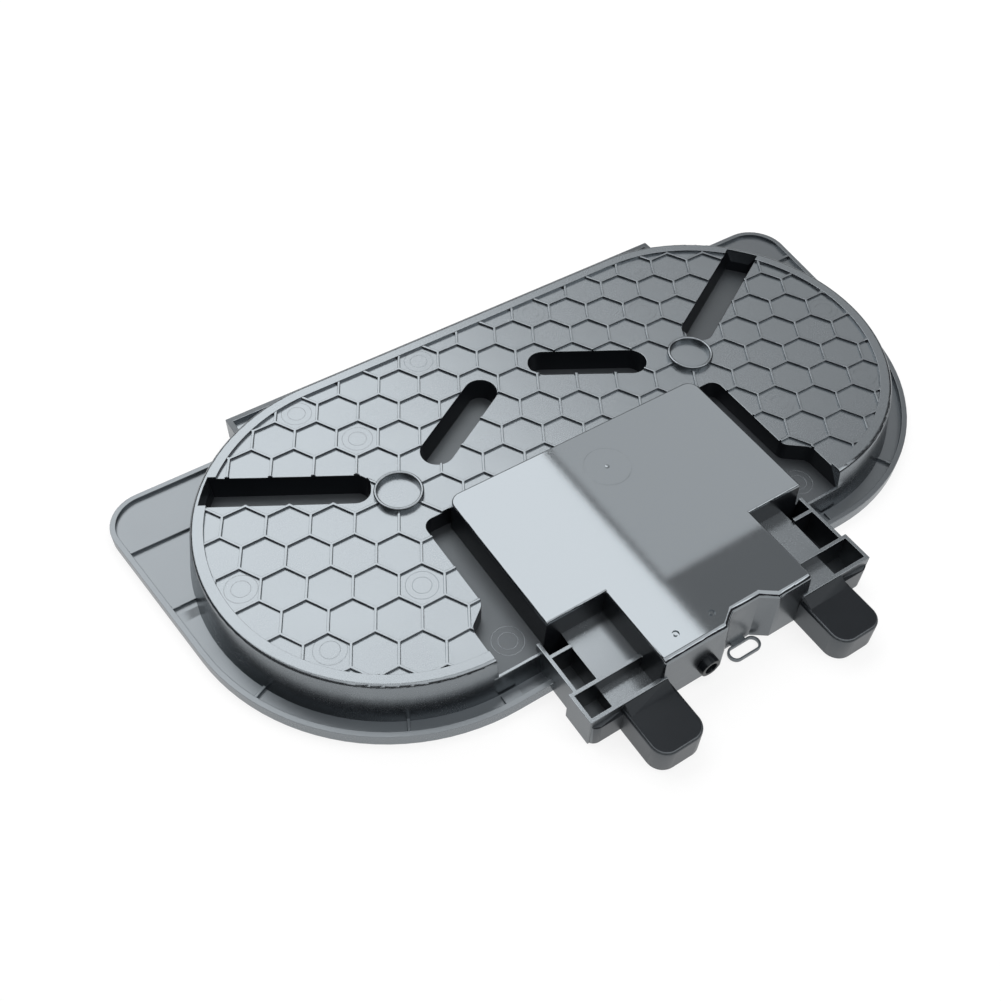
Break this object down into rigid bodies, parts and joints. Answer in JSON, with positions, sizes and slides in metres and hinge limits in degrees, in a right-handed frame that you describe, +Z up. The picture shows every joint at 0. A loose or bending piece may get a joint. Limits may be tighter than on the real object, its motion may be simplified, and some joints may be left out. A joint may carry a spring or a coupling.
{
  "type": "robot vacuum mop bracket",
  "caption": "Moulded tray bracket for a robot vacuum's mop pads: raised honeycomb tray with slots and drain channels, winged flange, box cover and finger latch tabs at the front.",
  "frame": {"origin": "on the table, under the middle of the overall length and width", "axes": "+X along the tray, -Y towards the latch tabs, +Z up"},
  "size_m": [0.3436, 0.2196, 0.0253],
  "materials": {
    "charcoal_plastic": "satin, finely textured"
  },
  "bodies": {
    "root": {"mop_bracket": "charcoal_plastic"}
  },
  "joints": []
}
